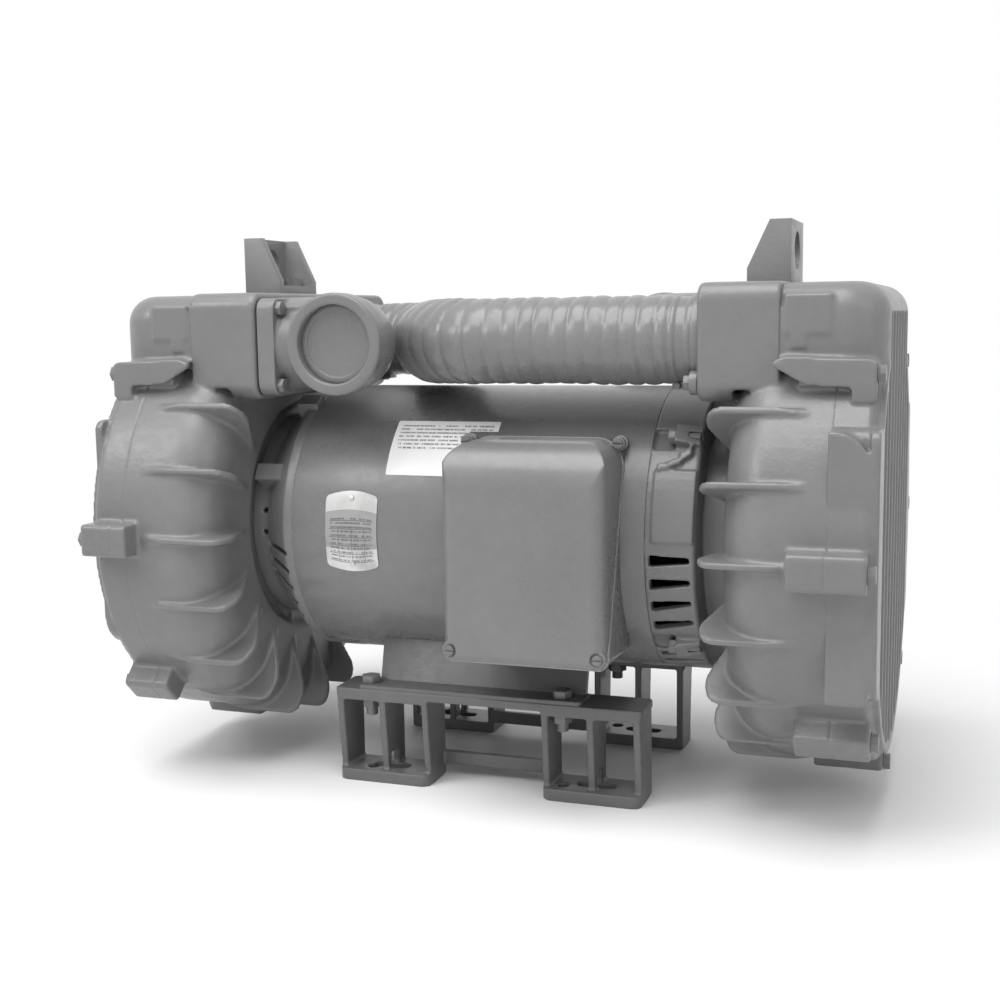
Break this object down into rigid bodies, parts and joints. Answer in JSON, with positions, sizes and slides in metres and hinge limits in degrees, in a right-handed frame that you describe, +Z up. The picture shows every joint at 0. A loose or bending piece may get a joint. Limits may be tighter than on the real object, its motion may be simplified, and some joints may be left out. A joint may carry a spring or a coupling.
{
  "type": "regenerative blower",
  "caption": "Two-stage regenerative blower: a double-shaft electric motor between ribbed ring castings, joined on top by a corrugated hose, with lifting eyes and two box stands.",
  "frame": {"origin": "on the floor, at the middle of the stands' foot slots, under the shaft", "axes": "+X along the shaft, from the stage with the inlet elbow towards the stage with the discharge elbow; +Z up; -Y is the front, with the conduit box"},
  "size_m": [0.768, 0.482, 0.56],
  "materials": {
    "body_paint": "satin mid grey paint over castings and sheet",
    "stand_paint": "satin dark grey paint",
    "painted_fasteners": "satin mid grey paint",
    "hose_paint": "mid grey paint over ridged hose",
    "spigot_metal": "satin mid grey paint",
    "clamp_steel": "painted steel band",
    "plug_plastic": "matt grey",
    "plate_metal": "satin bare aluminium",
    "label_face": "matt white film",
    "gasket_rubber": "matt black",
    "plain_steel": "zinc plated",
    "bearing_steel": "ground and polished",
    "shaft_steel": "turned",
    "core_iron": "laminated steel",
    "cast_aluminium": "as cast",
    "winding_varnish": "varnished copper",
    "terminal_plastic": "black moulding",
    "foam": "open-cell foam"
  },
  "bodies": {
    "blower": {"bearing_balls": "bearing_steel", "bearing_outer_left": "bearing_steel", "bearing_outer_right": "bearing_steel", "bell_bolts": "painted_fasteners", "conduit_box": "body_paint", "conduit_cover": "body_paint", "conduit_gasket": "gasket_rubber", "conduit_screws": "painted_fasteners", "cover_bolts_left": "painted_fasteners", "cover_bolts_right": "painted_fasteners", "cover_left": "body_paint", "cover_right": "body_paint", "data_label": "label_face", "end_bell_left": "body_paint", "end_bell_right": "body_paint", "face_bolts_left": "plain_steel", "face_bolts_right": "plain_steel", "foot_bolts": "painted_fasteners", "foot_nuts": "plain_steel", "hose_clamp_left": "clamp_steel", "hose_clamp_right": "clamp_steel", "hose_spigot_left": "spigot_metal", "hose_spigot_right": "spigot_metal", "housing_left": "body_paint", "housing_right": "body_paint", "inlet_elbow": "body_paint", "inlet_gasket": "gasket_rubber", "interstage_hose": "hose_paint", "lifting_lug_left": "body_paint", "lifting_lug_right": "body_paint", "lug_screws": "plain_steel", "motor_foot": "body_paint", "motor_frame": "body_paint", "nameplate": "plate_metal", "nameplate_rivets": "plate_metal", "outlet_elbow": "body_paint", "outlet_gasket": "gasket_rubber", "port_bolts_left": "painted_fasteners", "port_bolts_right": "painted_fasteners", "shaft_seal_left": "gasket_rubber", "shaft_seal_right": "gasket_rubber", "silencer_foam_left": "foam", "silencer_foam_right": "foam", "stand_front": "stand_paint", "stand_rear": "stand_paint", "stator_core": "core_iron", "stator_windings": "winding_varnish", "terminal_block": "terminal_plastic"},
    "rotor": {"shaft": "shaft_steel", "rotor_core": "core_iron", "rotor_cage": "cast_aluminium", "bearing_inner_left": "bearing_steel", "bearing_inner_right": "bearing_steel", "impeller_left": "cast_aluminium", "impeller_right": "cast_aluminium", "impeller_bolt_left": "plain_steel", "impeller_bolt_right": "plain_steel", "impeller_keys": "plain_steel"},
    "plug": {"inlet_plug": "plug_plastic"}
  },
  "joints": [
    {"name": "rotor_spin", "type": "hinge", "parent": "blower", "child": "rotor", "pos_m": [0, 0, 0.26], "axis": [1, 0, 0], "continuous": true},
    {"name": "plug_pull", "type": "slide", "parent": "blower", "child": "plug", "axis": [0, -1, 0], "range_m": [0, 0.06]}
  ]
}
